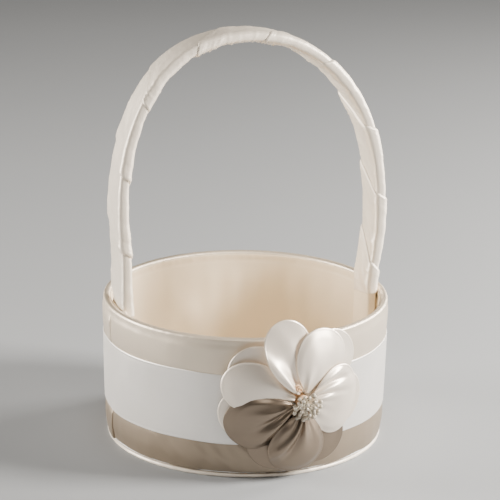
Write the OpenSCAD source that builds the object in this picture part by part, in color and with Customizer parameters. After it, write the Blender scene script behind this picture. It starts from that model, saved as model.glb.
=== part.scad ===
// Flower girl basket: a satin-covered board bowl with a ribbon band, a wrapped hoop handle
// and a fabric flower. Z is up, X runs from handle leg to handle leg, and the flower faces -Y.
// The origin is the centre of the bowl's underside.

/* [Bowl] */
// Outer diameter at the rim
bowl_d = 150.8; // [146:0.2:158]
// Outer diameter at the foot
foot_d = 147; // [140:1:148]
// Height from the table to the top of the rim
bowl_h = 76.5; // [70:0.5:84]
// Thickness of each satin layer
satin_t = 0.4; // [0.3:0.05:0.5]
// Thickness of the chipboard wall
wall_board_t = 1.5; // [1.2:0.1:2]
// Thickness of the batting on the wall
padding_t = 1.1; // [1:0.1:1.6]
// Thickness of the base disc with its satin
base_t = 2.2; // [1.8:0.1:3]
// How far the outer cover runs down inside the rim
cover_turn_in = 10; // [6:1:14]
// Direction of the cover's lapped seam, seen from above
cover_lap_angle = 185; // [176:1:190]
// Width of the cover's lapped seam
cover_lap_w = 14; // [8:1:18]

/* [Ribbon] */
// Width of the ribbon
ribbon_w = 38; // [22:1:44]
// Height of the ribbon's lower edge
ribbon_z = 19; // [14:1:22]
// Gap between the ribbon's two ends in degrees
ribbon_gap_angle = 1; // [0.5:0.5:4]

/* [Handle] */
// Height of the hoop's middle line at its top, before it leans
handle_top_z = 214; // [195:1:230]
// Half of the hoop's span at its widest
handle_half_span = 70.4; // [69:0.2:74]
// How far the hoop bows towards the right above the rim
handle_bow = 2.3; // [0:0.1:3]
// Height at which the hoop is widest
handle_wide_z = 122; // [110:1:130]
// Squareness of the hoop's shoulders, where 2 is an ellipse
handle_squareness = 2.19; // [2:0.01:2.4]
// Backward lean of the hoop in degrees
handle_lean = 6; // [0:0.5:8]
// Width of the wrapped band
handle_w = 24; // [22:0.5:27]
// Thickness of the wrapped band
handle_t = 5.8; // [5:0.1:6]
// Thickness of the satin wrap
wrap_t = 0.8; // [0.6:0.1:0.9]
// Length of each tail below the rim
tail_len = 62; // [48:1:62]
// Height at which the wrap gives way to the tail cover
wrap_end_z = 71; // [66:1:73]

/* [Flower] */
// Direction of the flower, to the right of the front
flower_turn = 4; // [0:0.5:8]
// Height of the flower's middle
flower_z = 44.5; // [44:0.5:48]
// Number of stamens
stamens = 36; // [24:1:38]
// Radius of a stamen's head
stamen_head_r = 1.1; // [0.8:0.05:1.1]
// Length of the longest stamen
stamen_len = 9.3; // [9:0.1:11]

/* [Hidden] */
$fn = 96;

glue = 0.1;

// Radial build of the wall, as distances in from the outer surface
padding_out = satin_t + glue;
board_out = padding_out + padding_t + glue;
board_in = board_out + wall_board_t;
turn_out = board_in + glue;
turn_in = turn_out + satin_t;
lining_out = turn_in + glue;
lining_in = lining_out + satin_t;

rim_roll_r = turn_in / 2;
rim_z = bowl_h - rim_roll_r;
rim_mid_r = bowl_d / 2 - rim_roll_r;
cover_foot_z = base_t + 0.3;
board_foot_z = cover_foot_z + satin_t + glue;
lining_top_z = rim_z + 0.3;
board_top_z = rim_z - 0.4;

// Distance from the outer cover to the ribbon, which leaves room for the cover's lapped seam
ribbon_under = 0.35;

floor_board_t = 1.6;
base_r = foot_d / 2 - 0.4;
base_hem_w = 8;

// Outer radius of the bowl at height z
function bowl_r(z) = foot_d / 2 + (bowl_d - foot_d) / 2 * z / rim_z;

// Inner radius of the finished wall at height z
function inside_r(z) = bowl_r(z) - lining_in;

// A wall layer in section, from height z0 to z1, between two depths from the outer surface
module wall_section(z0, z1, outer, inner) {
    polygon([
        [bowl_r(z0) - outer, z0],
        [bowl_r(z1) - outer, z1],
        [bowl_r(z1) - inner, z1],
        [bowl_r(z0) - inner, z0]
    ]);
}

module wall_layer(z0, z1, outer, inner, angle = 360) {
    rotate_extrude(angle = angle) wall_section(z0, z1, outer, inner);
}

// ---- Base ----

module base_cover() {
    color("antiquewhite")
    rotate_extrude() {
        square([base_r, satin_t]);
        translate([base_r - satin_t, 0]) square([satin_t, base_t]);
        translate([base_r - base_hem_w, base_t - satin_t]) square([base_hem_w, satin_t]);
    }
}

module base_board() {
    edge_gap = satin_t + glue;
    color("tan")
    translate([0, 0, edge_gap]) cylinder(r = base_r - edge_gap, h = base_t - 2 * edge_gap);
}

// ---- Wall ----

module wall_board() {
    color("tan")
    difference() {
        wall_layer(board_foot_z, board_top_z, board_out, board_in);
        staple_prongs(glue);
    }
}

module wall_padding() {
    color("white") wall_layer(board_foot_z, board_top_z, padding_out, board_out - glue);
}

// Batting folded over the top edge of the wall board
module rim_padding() {
    inset = satin_t + glue;
    color("white")
    rotate_extrude() {
        difference() {
            translate([rim_mid_r, rim_z]) circle(r = rim_roll_r - inset);
            translate([rim_mid_r - rim_roll_r, rim_z - 2 * rim_roll_r - 0.3])
                square([2 * rim_roll_r, 2 * rim_roll_r]);
        }
    }
}

module outer_cover() {
    turn_foot_z = rim_z - cover_turn_in;
    turn_under_w = 4;
    color("antiquewhite")
    rotate_extrude() {
        wall_section(cover_foot_z, rim_z, 0, satin_t);
        wall_section(turn_foot_z, rim_z, turn_out, turn_in);
        translate([bowl_r(cover_foot_z) - turn_under_w, cover_foot_z])
            square([turn_under_w - satin_t / 2, satin_t]);
        difference() {
            translate([rim_mid_r, rim_z]) circle(r = rim_roll_r);
            translate([rim_mid_r, rim_z]) circle(r = rim_roll_r - satin_t);
            translate([rim_mid_r - 2 * rim_roll_r, rim_z - 4 * rim_roll_r])
                square(4 * rim_roll_r);
        }
    }
}

// The end of the outer cover, folded under and lapped over its start
module cover_lap() {
    lap_angle = cover_lap_w / (bowl_d / 2) * 180 / PI;
    color("ivory")
    rotate([0, 0, cover_lap_angle])
        wall_layer(cover_foot_z + 0.4, rim_z - 0.4, -0.25, -0.05, -lap_angle);
}

module wall_lining() {
    step_z = rim_z - cover_turn_in - 1;
    color("bisque")
    difference() {
        rotate_extrude() {
            wall_section(board_foot_z, step_z + satin_t, lining_out - satin_t, lining_in - satin_t);
            wall_section(step_z, step_z + satin_t, lining_out - satin_t, lining_in);
            wall_section(step_z, lining_top_z, lining_out, lining_in);
        }
        staple_prongs(glue);
    }
}

// ---- Floor ----

module floor_board() {
    color("tan")
    translate([0, 0, base_t + glue])
        cylinder(r = inside_r(base_t) - 0.6, h = floor_board_t);
}

module floor_lining() {
    color("bisque")
    translate([0, 0, base_t + floor_board_t + 2 * glue])
        cylinder(r = inside_r(base_t) - 0.2, h = satin_t);
}

// ---- Ribbon ----

// One length of ribbon round the bowl, whose cut ends meet under the flower
module ribbon_band() {
    color("white")
    rotate([0, 0, -90 + flower_turn + ribbon_gap_angle / 2])
        wall_layer(ribbon_z, ribbon_z + ribbon_w, -ribbon_under - satin_t, -ribbon_under,
                   360 - ribbon_gap_angle);
}

// ---- Handle ----

core_w = handle_w - 2 * wrap_t - 2 * glue;
core_t = handle_t - 2 * wrap_t - 2 * glue;
lean_z = rim_z;
tail_gap = 0.2;
arch_steps = 26;
leg_steps = 8;
tail_steps = 6;

// Middle line of a tail at depth d below the rim, which keeps its corners off the round wall
function tail_x(d) =
    let (half = handle_w / 2 + d * sin(handle_lean))
    sqrt(pow(inside_r(rim_z - d), 2) - pow(half, 2)) - handle_t / 2 - tail_gap;

// Middle line of a leg between the rim (u = 1) and the hoop's widest height (u = 0)
function leg_x(u) =
    let (drop = handle_half_span - tail_x(0),
         end_slope = (tail_x(0) - tail_x(2)) / 2 * (handle_wide_z - rim_z))
    handle_half_span - drop * (3 * pow(u, 2) - 2 * pow(u, 3)) - end_slope * (pow(u, 3) - pow(u, 2));

function arch_point(a) = [
    handle_half_span * pow(cos(a), 2 / handle_squareness),
    handle_wide_z + (handle_top_z - handle_wide_z) * pow(sin(a), 2 / handle_squareness)
];

half_line = concat(
    [for (i = [tail_steps:-1:1])
        let (d = tail_len * i / tail_steps) [tail_x(d), rim_z - d]],
    [for (i = [leg_steps:-1:1])
        let (u = i / leg_steps) [leg_x(u), handle_wide_z - u * (handle_wide_z - rim_z)]],
    [for (i = [0:arch_steps - 1]) arch_point(90 * i / arch_steps)],
    [[0, handle_top_z]]);

// 0 below low, 1 above high, and a smooth rise between
function smooth(x, low, high) = let (t = max(0, min(1, (x - low) / (high - low)))) t * t * (3 - 2 * t);

// How far the hoop stands to the right at height z
function bow(z) = handle_bow * smooth(z, rim_z, 106) * (1 - 0.85 * smooth(z, 165, handle_top_z));

whole_line = concat(
    half_line,
    [for (i = [len(half_line) - 2:-1:0]) [-half_line[i].x, half_line[i].y]]);
hoop_line = [for (p = whole_line) [p.x + bow(p.y), p.y]];

// The hoop's line moved sideways by d, outwards when d is positive
function moved_line(d) = [
    for (i = [0:len(hoop_line) - 1])
        let (before = hoop_line[max(i - 1, 0)],
             after = hoop_line[min(i + 1, len(hoop_line) - 1)],
             along = (after - before) / norm(after - before))
        hoop_line[i] + d * [along.y, -along.x]
];

module lean() {
    translate([0, 0, lean_z]) rotate([-handle_lean, 0, 0]) translate([0, 0, -lean_z]) children();
}

// A flat band along the hoop's line
module hoop_band(width, thickness) {
    outer = moved_line(thickness / 2);
    inner = moved_line(-thickness / 2);
    rotate([90, 0, 0])
        linear_extrude(height = width, center = true)
            polygon(concat(outer, [for (i = [len(inner) - 1:-1:0]) inner[i]]));
}

module above(z) {
    translate([-200, -50, z]) cube([400, 100, 300]);
}

module below(z, side) {
    translate([side > 0 ? 0 : -200, -50, z - 200]) cube([200, 100, 200]);
}

module handle_core() {
    color("burlywood")
    lean()
    difference() {
        hoop_band(core_w, core_t);
        staple_prongs_upright(glue);
        staple_crowns(glue);
    }
}

module handle_wrap() {
    color("seashell")
    lean()
    intersection() {
        difference() {
            hoop_band(handle_w, handle_t);
            hoop_band(core_w + 2 * glue, core_t + 2 * glue);
        }
        above(wrap_end_z);
    }
}

// Lining satin round one tail of the hoop, from the floor to the end of the wrap
module tail_cover(side) {
    color("bisque")
    lean()
    difference() {
        intersection() {
            hoop_band(handle_w - 0.6, handle_t - 0.6);
            below(wrap_end_z - 0.3, side);
        }
        hoop_band(core_w + 2 * glue, core_t + 2 * glue);
        staple_prongs_upright(glue);
    }
}

// ---- Staples ----

staple_wire = 0.6;
staple_w = 12;
staple_depths = [22, 46];

// Wires that run from the core's inner face to the wall board's outer face
module staple_prongs_upright(gap) {
    for (side = [-1, 1], d = staple_depths, y = [-1, 1]) {
        start = tail_x(d) - core_t / 2;
        wire = staple_wire + 2 * gap;
        translate([side > 0 ? start : -start - 8.2, y * (staple_w - staple_wire) / 2 - wire / 2,
                   rim_z - d - wire / 2])
            cube([8.2, wire, wire]);
    }
}

module staple_prongs(gap) {
    lean() staple_prongs_upright(gap);
}

module staple_crowns(gap) {
    for (side = [-1, 1], d = staple_depths) {
        start = tail_x(d) - core_t / 2;
        wire = staple_wire + 2 * gap;
        width = staple_w + 2 * gap;
        translate([side > 0 ? start - gap : -start - staple_wire - gap, -width / 2,
                   rim_z - d - wire / 2])
            cube([wire, width, wire]);
    }
}

module handle_staples() {
    color("silver")
    lean() {
        staple_prongs_upright(0);
        staple_crowns(0);
    }
}

// ---- Flower ----

backing_r = 14;
backing_t = 1;
flower_r = bowl_r(flower_z + backing_r) + ribbon_under + satin_t + 0.2;
tie_r = 3.2;
tie_top = 9.7;
petal_t = 0.7;
petal_root = 4.6;
// Radius to which the whole flower curves round the bowl
flower_curve_r = 90;
along_steps = 9;
across_steps = 8;

// Petals as [direction, half of the angle that it fills, length]
back_petals = [[-8, 38, 37], [50, 34, 41], [146, 34, 41], [194, 34, 41.5], [241, 34, 40.5], [297, 36, 39]];
front_petals = [[-11, 50, 33], [71, 34, 39.5], [106, 29, 45], [162, 30, 41.5], [204, 32, 40.5], [265, 38, 39.8]];

// Each layer as [height, crown, rise across one degree]
back_layer = [3.4, 0.6, 0.025];
front_layer = [8.8, 1.6, 0.065];
root_dip = 1.6;
tip_drop = 1.2;

module on_bowl() {
    rotate([0, 0, flower_turn]) translate([0, -flower_r - backing_t, 0]) translate([0, 0, flower_z])
        children();
}

// Half of the angle that a petal fills at u, from its root (0) to its tip (1)
function petal_half_angle(half, u) =
    half * (0.6 + 0.4 * sin(90 * min(1, 1.7 * u))) * sqrt(1 - 0.94 * pow(u, 4));

function petal_height(layer, u, v, angle) =
    layer[0] - root_dip * pow(1 - u, 2) - tip_drop * pow(u, 3)
    + layer[1] * sin(180 * pow(u, 0.8)) * (1 - v * v) + layer[2] * angle;

function petal_point(petal, layer, u, v, lift) =
    let (r = petal_root + (petal[2] - petal_root) * u,
         angle = v * petal_half_angle(petal[1], u),
         x = r * cos(petal[0] + angle),
         z = r * sin(petal[0] + angle))
    [x, pow(x, 2) / (2 * flower_curve_r) - petal_height(layer, u, v, angle) - lift, z];

function petal_face(petal, layer, lift) = [
    for (i = [0:along_steps], j = [0:across_steps])
        petal_point(petal, layer, i / along_steps, 2 * j / across_steps - 1, lift)
];

// A thin closed petal: a front and a back face, joined round the edge
module petal_solid(petal, layer) {
    row = across_steps + 1;
    count = row * (along_steps + 1);
    quads = [for (i = [0:along_steps - 1], j = [0:across_steps - 1]) i * row + j];
    front = [for (q = quads, k = [0, 1]) k == 0 ? [q, q + 1, q + row] : [q + 1, q + row + 1, q + row]];
    back = [for (f = front) [f[2] + count, f[1] + count, f[0] + count]];
    rim = concat(
        [for (j = [0:across_steps]) j],
        [for (i = [1:along_steps]) i * row + across_steps],
        [for (j = [across_steps - 1:-1:0]) along_steps * row + j],
        [for (i = [along_steps - 1:-1:1]) i * row]);
    edge = [for (k = [0:len(rim) - 1], m = [0, 1])
        let (a = rim[k], b = rim[(k + 1) % len(rim)])
        m == 0 ? [b, a, a + count] : [b, a + count, b + count]];
    polyhedron(
        points = concat(petal_face(petal, layer, petal_t / 2), petal_face(petal, layer, -petal_t / 2)),
        faces = concat(front, back, edge));
}

module flower_backing() {
    color("white")
    rotate([0, 0, flower_turn])
    intersection() {
        difference() {
            cylinder(r = flower_r + backing_t, h = bowl_h);
            cylinder(r = flower_r, h = bowl_h);
        }
        translate([0, 0, flower_z]) rotate([90, 0, 0]) cylinder(r = backing_r, h = 2 * flower_r);
    }
}

// The petals at the bottom of each layer are of a darker satin
function petal_colour(i) = i < 4 ? "ivory" : "tan";

module back_petal(i) {
    color(petal_colour(i)) on_bowl() petal_solid(back_petals[i], back_layer);
}

module front_petal(i) {
    color(petal_colour(i)) on_bowl() petal_solid(front_petals[i], front_layer);
}

module flower_tie() {
    color("peachpuff")
    on_bowl() translate([0, -glue, 0]) rotate([90, 0, 0]) cylinder(r = tie_r, h = tie_top - glue);
}

// ---- Stamens ----

stamen_source = 7.8;
stamen_spread = 60;
stamen_droop = 13;
stem_r = 0.26;
golden_angle = 137.508;

function stamen_tilt(i) = stamen_spread * sqrt((i + 0.5) / stamens);

// Angle between stamen i and the tie's axis
function stem_lean(i) =
    acos(sin(stamen_tilt(i)) * sin(i * golden_angle) * sin(stamen_droop)
         + cos(stamen_tilt(i)) * cos(stamen_droop));

// Distance along stamen i at which its stem comes out of the tie
function stem_start(i) =
    let (lean = stem_lean(i),
         through_top = (tie_top - stamen_source + stem_r * sin(lean)) / cos(lean),
         through_side = (tie_r + stem_r * cos(lean)) / sin(lean))
    min(through_top, through_side) + 0.05;

// Places children at stamen i's start, with Z along the stamen
module stamen_frame(i) {
    on_bowl() translate([0, -stamen_source, 0]) rotate([90 + stamen_droop, 0, 0])
        rotate([0, 0, i * golden_angle]) rotate([0, stamen_tilt(i), 0]) children();
}

// Distance of stamen i's head from the source
function head_distance(i) = stamen_len - 0.5 * (1 + sin(i * 97));

module stamen_stems() {
    color("ivory")
    for (i = [0:stamens - 1])
        stamen_frame(i) translate([0, 0, stem_start(i)])
            cylinder(r = stem_r, h = head_distance(i) - stem_start(i) - stamen_head_r - 0.02, $fn = 16);
}

module stamen_heads() {
    color("cornsilk")
    for (i = [0:stamens - 1])
        stamen_frame(i) translate([0, 0, head_distance(i)]) sphere(r = stamen_head_r, $fn = 24);
}

base_cover();
base_board();
wall_board();
wall_padding();
rim_padding();
outer_cover();
cover_lap();
wall_lining();
floor_board();
floor_lining();
ribbon_band();
handle_core();
handle_wrap();
tail_cover(-1);  // left_tail_cover
tail_cover(1);  // right_tail_cover
handle_staples();
flower_backing();
for (i = [0:5]) back_petal(i);
for (i = [0:5]) front_petal(i);
flower_tie();
stamen_stems();
stamen_heads();
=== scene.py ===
"""Visual model of a flower girl basket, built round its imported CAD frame.

Lengths in this file are in millimetres until a mesh is made, and angles are in degrees.
"""

import math

import bpy
import bmesh
import numpy as np
from mathutils import Matrix, Vector


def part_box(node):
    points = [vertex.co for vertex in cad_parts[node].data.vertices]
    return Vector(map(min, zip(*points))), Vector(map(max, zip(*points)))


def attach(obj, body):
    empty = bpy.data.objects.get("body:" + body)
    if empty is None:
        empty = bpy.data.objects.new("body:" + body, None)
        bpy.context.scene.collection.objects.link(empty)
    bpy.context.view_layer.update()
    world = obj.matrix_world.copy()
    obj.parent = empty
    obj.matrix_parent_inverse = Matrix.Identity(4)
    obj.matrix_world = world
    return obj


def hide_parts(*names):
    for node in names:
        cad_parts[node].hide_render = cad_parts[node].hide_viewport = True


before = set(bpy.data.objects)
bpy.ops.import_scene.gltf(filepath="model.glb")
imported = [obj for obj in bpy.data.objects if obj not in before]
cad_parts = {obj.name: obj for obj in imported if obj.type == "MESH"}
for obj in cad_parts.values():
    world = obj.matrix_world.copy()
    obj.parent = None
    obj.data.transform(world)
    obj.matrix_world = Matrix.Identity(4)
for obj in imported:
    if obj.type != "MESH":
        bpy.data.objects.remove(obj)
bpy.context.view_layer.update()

MM = 0.001


# ---- Camera ----

CAMERA_AZIMUTH = -17.0
CAMERA_ELEVATION = 17.57
CAMERA_ROLL = 0.83
CAMERA_DISTANCE = 1446.0
CAMERA_LENS = 197.0
CAMERA_TARGET = Vector((2.36, 0.72, 99.4))


def make_camera():
    a, e = math.radians(CAMERA_AZIMUTH), math.radians(CAMERA_ELEVATION)
    back = Vector((math.sin(a) * math.cos(e), -math.cos(a) * math.cos(e), math.sin(e)))
    data = bpy.data.cameras.new("camera")
    data.lens = CAMERA_LENS
    data.clip_end = 20
    camera = bpy.data.objects.new("camera", data)
    bpy.context.collection.objects.link(camera)
    turn = (-back).to_track_quat("-Z", "Y").to_matrix().to_4x4()
    roll = Matrix.Rotation(math.radians(CAMERA_ROLL), 4, "Z")
    place = Matrix.Translation((CAMERA_TARGET + back * CAMERA_DISTANCE) * MM)
    camera.matrix_world = place @ turn @ roll
    bpy.context.scene.camera = camera


make_camera()


# ---- Dimensions, from the frame where it holds them ----

def span(node):
    """The lowest and highest corner of a CAD node in millimetres."""
    low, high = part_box(node)
    return np.array(low) / MM, np.array(high) / MM


RIM_R = span("outer_cover")[1][0]
BOWL_H = span("outer_cover")[1][2]
BASE_R = span("base_cover")[1][0]
BASE_T = span("base_cover")[1][2]
FOOT_R = BASE_R + 0.4
ROLL_R = 1.85
ROLL_Z = BOWL_H - ROLL_R
ROLL_MID_R = RIM_R - ROLL_R
COVER_FOOT_Z = BASE_T + 0.3
SATIN_T = 0.4
LINING_T = 0.3
RIBBON_T = 0.35
LAP_T = 0.2
WRAP_T = 0.3
TAIL_COVER_T = 0.22
FELT_T = 0.85
LINING_IN = 4.2
LINING_TOP_Z = span("wall_lining")[1][2]
FLOOR_Z = span("floor_lining")[1][2]
RIBBON_LOW = span("ribbon_band")[0][2]
RIBBON_HIGH = span("ribbon_band")[1][2]
RIBBON_UNDER = 0.10
LAP_ANGLE = 185.0
LAP_W = 14.0

HANDLE_HALF_SPAN = 70.4
HANDLE_WIDE_Z = 122.0
HANDLE_TOP_Z = 214.0
HANDLE_BOW = 2.3
HANDLE_SQUARENESS = 2.19
HANDLE_LEAN = 6.0
HANDLE_W = 24.0
HANDLE_T = 5.8
TAIL_LEN = 62.0
TAIL_GAP = 0.2
WRAP_END_Z = 71.0

FLOWER_TURN = 4.0
FLOWER_Z = 44.5
BACKING_R = 14.0
FLOWER_R = 76.94
FLOWER_CURVE_R = 90.0


def bowl_r(z):
    return FOOT_R + (RIM_R - FOOT_R) * z / ROLL_Z


def inside_r(z):
    return bowl_r(z) - LINING_IN


# ---- Numbers and meshes ----

def smooth(x, low, high):
    """0 below low, 1 above high, and a smooth rise between."""
    t = np.clip((np.asarray(x, float) - low) / (high - low), 0, 1)
    return t * t * (3 - 2 * t)


def bump(x, middle, width):
    return np.exp(-(((np.asarray(x, float) - middle) / width) ** 2))


def soft_noise(points, wavelength, seed, waves=14):
    """Smooth noise between about -1 and 1 at points (..., k), the same on each run."""
    rng = np.random.RandomState(seed)
    points = np.asarray(points, float)
    total = np.zeros(points.shape[:-1])
    for _ in range(waves):
        direction = rng.normal(size=points.shape[-1])
        direction /= np.linalg.norm(direction)
        length = wavelength * rng.uniform(0.7, 1.5)
        total += np.sin(2 * math.pi * (points @ direction) / length + rng.uniform(0, 7))
    return total * math.sqrt(2 / waves) * 0.7


def stack(*parts):
    return np.stack(np.broadcast_arrays(*parts), axis=-1)


def mesh_piece(name, points, faces, slot, uvs=None):
    """A smooth-shaded object on the root body.

    points are in millimetres, and uvs has one pair per face corner, in metres.
    """
    mesh = bpy.data.meshes.new(name)
    mesh.from_pydata((np.asarray(points, float).reshape(-1, 3) * MM).tolist(), [], faces)
    if uvs is not None:
        layer = mesh.uv_layers.new(name="cloth")
        layer.data.foreach_set("uv", np.asarray(uvs, np.float32).ravel())
    mesh.validate()
    mesh.shade_smooth()
    piece = bpy.data.objects.new(name, mesh)
    bpy.context.collection.objects.link(piece)
    mesh.materials.append(MATERIALS[slot])
    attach(piece, "root")
    return piece


def grid_faces(rows, columns, wrap_rows=False, flip=False, start=0):
    """Quads over a grid of points and, for each, its corners' (row, column) before wrapping."""
    i, j = np.meshgrid(
        np.arange(rows if wrap_rows else rows - 1), np.arange(columns - 1), indexing="ij"
    )
    i, j = i.ravel(), j.ravel()
    corners = [(i, j), (i + 1, j), (i + 1, j + 1), (i, j + 1)]
    if flip:
        corners = corners[::-1]
    faces = np.stack([(a % rows) * columns + b + start for a, b in corners], axis=1)
    where = np.stack([np.stack(c, axis=1) for c in corners], axis=1)
    return faces, where


def grid_piece(name, points, cloth, slot, wrap_rows=False, flip=False, thickness=0.0, offset=-1):
    """A sheet over a grid of points (rows, columns, 3).

    cloth gives each grid point's place on the flat cloth, in millimetres. It has one more row when the
    rows wrap.
    """
    rows, columns = points.shape[:2]
    faces, where = grid_faces(rows, columns, wrap_rows, flip)
    uvs = cloth[where[..., 0], where[..., 1]] * MM
    piece = mesh_piece(name, points, faces.tolist(), slot, uvs)
    if thickness:
        solid = piece.modifiers.new("thickness", "SOLIDIFY")
        solid.thickness = thickness * MM
        solid.offset = offset
        solid.use_even_offset = True
    return piece


def revolved(profile, count, displace=None):
    """Points round Z of a profile of (r, z), from angle 0, and the flat cloth's coordinates."""
    profile = np.asarray(profile, float)
    theta = np.arange(count) * 2 * math.pi / count
    r, z = profile[None, :, 0], profile[None, :, 1]
    angle = theta[:, None] + 0 * r
    r, z = r + 0 * angle, z + 0 * angle
    along = np.concatenate([[0], np.cumsum(np.hypot(*np.diff(profile, axis=0).T))])
    if displace is not None:
        tangent = np.gradient(profile, axis=0)
        tangent /= np.linalg.norm(tangent, axis=1)[:, None]
        out = displace(angle, r, z, along[None, :] + 0 * angle)
        r = r + out * tangent[None, :, 1]
        z = z - out * tangent[None, :, 0]
    points = stack(r * np.cos(angle), r * np.sin(angle), z)
    turns = np.arange(count + 1) / count
    cloth = stack(turns[:, None] * 2 * math.pi * RIM_R, along[None, :])
    return points, cloth


def arc(middle, radius, start, end, count):
    """Points on an arc in section, with angles from the +r direction."""
    angles = np.radians(np.linspace(start, end, count))
    return [(middle[0] + radius * math.cos(a), middle[1] + radius * math.sin(a)) for a in angles]


def line(start, end, count):
    """Points from start up to, but not at, end."""
    return [tuple(np.add(start, np.multiply(np.subtract(end, start), k / count))) for k in range(count)]


# ---- Materials ----

# How uneven a satin's colour is, and the painted shade on the cover: how much darker its colour is below
# the ribbon, standing in for the shade on its lower band
SATIN_UNEVEN = 0.03
PAINTED_FOOT_SHADE = (0.41, 0.375, 0.34)
PAINTED_SHADE_TOP = 36


def new_material(name):
    material = bpy.data.materials.new(name)
    material.use_nodes = True
    nodes, links = material.node_tree.nodes, material.node_tree.links
    return material, nodes, links, nodes["Principled BSDF"]


def node(nodes, kind, inputs=None, **settings):
    made = nodes.new(kind)
    for key, value in settings.items():
        setattr(made, key, value)
    for key, value in (inputs or {}).items():
        made.inputs[key].default_value = value
    return made


def mixed_colour(nodes, links, factor, low, high):
    """A colour between low and high, by a factor socket."""
    mix = node(nodes, "ShaderNodeMix", data_type="RGBA")
    mix.inputs["A"].default_value = (*low, 1)
    mix.inputs["B"].default_value = (*high, 1)
    links.new(factor, mix.inputs["Factor"])
    return mix.outputs["Result"]


def spread(nodes, links, factor, low, high):
    """factor, from 0 to 1, moved to the range low to high."""
    ranged = node(nodes, "ShaderNodeMapRange", {"To Min": low, "To Max": high})
    links.new(factor, ranged.inputs["Value"])
    return ranged.outputs["Result"]


def painted_shade_below(nodes, links, colour, height, shade):
    """colour with painted shade: darker by a factor below a height in millimetres, with a change that takes
    3 mm.
    """
    place = node(nodes, "ShaderNodeTexCoord")
    parts = node(nodes, "ShaderNodeSeparateXYZ")
    links.new(place.outputs["Object"], parts.inputs["Vector"])
    ranged = node(nodes, "ShaderNodeMapRange", {"From Min": height * MM, "From Max": (height + 3) * MM})
    links.new(parts.outputs["Z"], ranged.inputs["Value"])
    mix = node(nodes, "ShaderNodeMix", data_type="RGBA", blend_type="MULTIPLY")
    mix.inputs["Factor"].default_value = 1.0
    links.new(colour, mix.inputs["A"])
    links.new(mixed_colour(nodes, links, ranged.outputs["Result"], shade, (1, 1, 1)), mix.inputs["B"])
    return mix.outputs["Result"]


def coated(material, weight, roughness=0.03):
    """The material with a clear coat on it."""
    shader = material.node_tree.nodes["Principled BSDF"]
    shader.inputs["Coat Weight"].default_value = weight
    shader.inputs["Coat Roughness"].default_value = roughness
    return material


def satin(name, colour, roughness, metal, thread=0.28, warp_along="U", painted_foot_shade=None):
    """Satin: long shiny floats along the warp, faint threads across, and soft unevenness.

    thread is the threads' spacing in millimetres. The last argument, if given, is a factor of painted shade
    on the colour below the ribbon.
    """
    material, nodes, links, shader = new_material(name)
    cloth = node(nodes, "ShaderNodeUVMap", uv_map="cloth")

    def stretched(across, along):
        scale = (along, across, 1) if warp_along == "U" else (across, along, 1)
        mapping = node(nodes, "ShaderNodeMapping", {"Scale": scale})
        links.new(cloth.outputs["UV"], mapping.inputs["Vector"])
        return mapping.outputs["Vector"]

    count = 1 / (thread * MM)
    warp = node(nodes, "ShaderNodeTexNoise", {"Scale": 1.0, "Detail": 2.0, "Roughness": 0.6})
    links.new(stretched(count, count / 12), warp.inputs["Vector"])
    slub = node(nodes, "ShaderNodeTexNoise", {"Scale": 1.0, "Detail": 2.0, "Roughness": 0.5})
    links.new(stretched(count / 7, count / 160), slub.inputs["Vector"])
    cloud = node(nodes, "ShaderNodeTexNoise", {"Scale": 55.0, "Detail": 3.0})
    links.new(cloth.outputs["UV"], cloud.inputs["Vector"])
    threads = node(nodes, "ShaderNodeMath", operation="MULTIPLY_ADD")
    threads.inputs[1].default_value = 0.6
    links.new(slub.outputs["Fac"], threads.inputs[0])
    links.new(warp.outputs["Fac"], threads.inputs[2])
    tone = node(nodes, "ShaderNodeMath", operation="MULTIPLY_ADD")
    tone.inputs[1].default_value = 0.4
    links.new(threads.outputs[0], tone.inputs[0])
    links.new(cloud.outputs["Fac"], tone.inputs[2])
    darker = tuple(c * (1 - 2 * SATIN_UNEVEN) for c in colour)
    lighter = tuple(min(1, c * (1 + SATIN_UNEVEN)) for c in colour)
    base = mixed_colour(nodes, links, tone.outputs[0], darker, lighter)
    # Painted shade: below the ribbon the cover's colour is darkened to stand in for the shade on its lower
    # band.
    if painted_foot_shade is not None:
        base = painted_shade_below(nodes, links, base, PAINTED_SHADE_TOP, painted_foot_shade)
    links.new(base, shader.inputs["Base Color"])
    links.new(
        spread(nodes, links, tone.outputs[0], roughness - 0.06, roughness + 0.06),
        shader.inputs["Roughness"],
    )
    relief = node(nodes, "ShaderNodeBump", {"Strength": 0.14, "Distance": 0.05 * MM})
    links.new(threads.outputs[0], relief.inputs["Height"])
    links.new(relief.outputs["Normal"], shader.inputs["Normal"])
    tangent = node(nodes, "ShaderNodeTangent", direction_type="UV_MAP", uv_map="cloth")
    links.new(tangent.outputs["Tangent"], shader.inputs["Tangent"])
    shader.inputs["Anisotropic"].default_value = 0.5
    shader.inputs["Anisotropic Rotation"].default_value = 0.0 if warp_along == "U" else 0.25
    shader.inputs["Metallic"].default_value = metal
    return material


def mottled(name, colour, other, scale, roughness, relief_mm, metallic=0.0, detail=6.0):
    """A material with an uneven colour, roughness and surface in object space."""
    material, nodes, links, shader = new_material(name)
    place = node(nodes, "ShaderNodeTexCoord")
    noise = node(nodes, "ShaderNodeTexNoise", {"Scale": scale, "Detail": detail, "Roughness": 0.65})
    links.new(place.outputs["Object"], noise.inputs["Vector"])
    base = mixed_colour(nodes, links, noise.outputs["Fac"], colour, other)
    links.new(base, shader.inputs["Base Color"])
    links.new(
        spread(nodes, links, noise.outputs["Fac"], roughness - 0.08, roughness + 0.08),
        shader.inputs["Roughness"],
    )
    relief = node(nodes, "ShaderNodeBump", {"Strength": 0.6, "Distance": relief_mm * MM})
    links.new(noise.outputs["Fac"], relief.inputs["Height"])
    links.new(relief.outputs["Normal"], shader.inputs["Normal"])
    shader.inputs["Metallic"].default_value = metallic
    return material


STEEL = ((0.60, 0.60, 0.61), (0.75, 0.75, 0.76))
PEARL = ((0.36, 0.315, 0.25), (0.60, 0.54, 0.44))

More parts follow.
